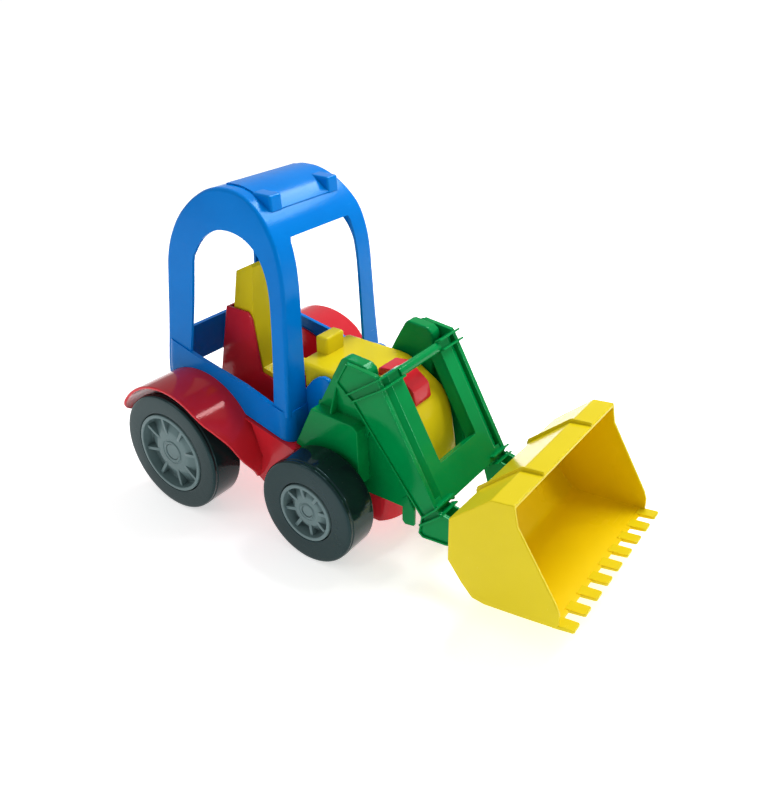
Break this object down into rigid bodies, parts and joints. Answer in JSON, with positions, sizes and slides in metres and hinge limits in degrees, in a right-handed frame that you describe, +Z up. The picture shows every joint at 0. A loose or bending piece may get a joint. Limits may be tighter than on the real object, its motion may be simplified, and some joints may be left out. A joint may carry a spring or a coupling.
{
  "type": "toy front loader",
  "caption": "Plastic toy front loader tractor with open cab, seat, hood, turning wheels, a lift arm that swings up and a toothed bucket that tips.",
  "frame": {"origin": "centre of the toy's bounding box, on the ground that the tyres stand on", "axes": "+X points forward to the bucket, +Y to the tractor's left, +Z up"},
  "size_m": [0.435, 0.2228, 0.2834],
  "materials": {
    "red_plastic": "glossy moulded polypropylene, red",
    "yellow_plastic": "glossy moulded polypropylene, yellow",
    "blue_plastic": "glossy moulded polypropylene, blue",
    "green_plastic": "glossy moulded polypropylene, green",
    "steel": "plain steel rod and screws",
    "grey_plastic": "satin moulded plastic, blue-grey",
    "black_plastic": "glossy hard moulded plastic tyre, black"
  },
  "bodies": {
    "tractor": {"chassis": "red_plastic", "guard_right": "red_plastic", "guard_left": "red_plastic", "seat_base": "red_plastic", "seat": "yellow_plastic", "cab": "blue_plastic", "cab_base": "blue_plastic", "roof_lights": "blue_plastic", "hood": "yellow_plastic", "scoop": "red_plastic", "bracket_right": "green_plastic", "bracket_left": "green_plastic", "body_screws": "steel", "axle_rear": "steel", "axle_front": "steel", "hub_caps": "grey_plastic"},
    "arm": {"loader_arm": "green_plastic", "bucket_pins": "green_plastic"},
    "bucket": {"bucket": "yellow_plastic"},
    "wheel_rear_right": {"tyre_rear_right": "black_plastic", "rim_rear_right": "grey_plastic"},
    "wheel_rear_left": {"tyre_rear_left": "black_plastic", "rim_rear_left": "grey_plastic"},
    "wheel_front_right": {"tyre_front_right": "black_plastic", "rim_front_right": "grey_plastic"},
    "wheel_front_left": {"tyre_front_left": "black_plastic", "rim_front_left": "grey_plastic"}
  },
  "joints": [
    {"name": "lift", "type": "hinge", "parent": "tractor", "child": "arm", "pos_m": [0.008, 0, 0.15], "axis": [0, -1, 0], "range_deg": [0, 62]},
    {"name": "tip", "type": "hinge", "parent": "arm", "child": "bucket", "pos_m": [0.1025, 0, 0.048], "axis": [0, -1, 0], "range_deg": [-45, 32]},
    {"name": "roll_rear_right", "type": "hinge", "parent": "tractor", "child": "wheel_rear_right", "pos_m": [-0.155, -0.094, 0.055], "axis": [0, 1, 0], "continuous": true},
    {"name": "roll_rear_left", "type": "hinge", "parent": "tractor", "child": "wheel_rear_left", "pos_m": [-0.155, 0.094, 0.055], "axis": [0, 1, 0], "continuous": true},
    {"name": "roll_front_right", "type": "hinge", "parent": "tractor", "child": "wheel_front_right", "pos_m": [-0.01, -0.0825, 0.0465], "axis": [0, 1, 0], "continuous": true},
    {"name": "roll_front_left", "type": "hinge", "parent": "tractor", "child": "wheel_front_left", "pos_m": [-0.01, 0.0825, 0.0465], "axis": [0, 1, 0], "continuous": true}
  ]
}
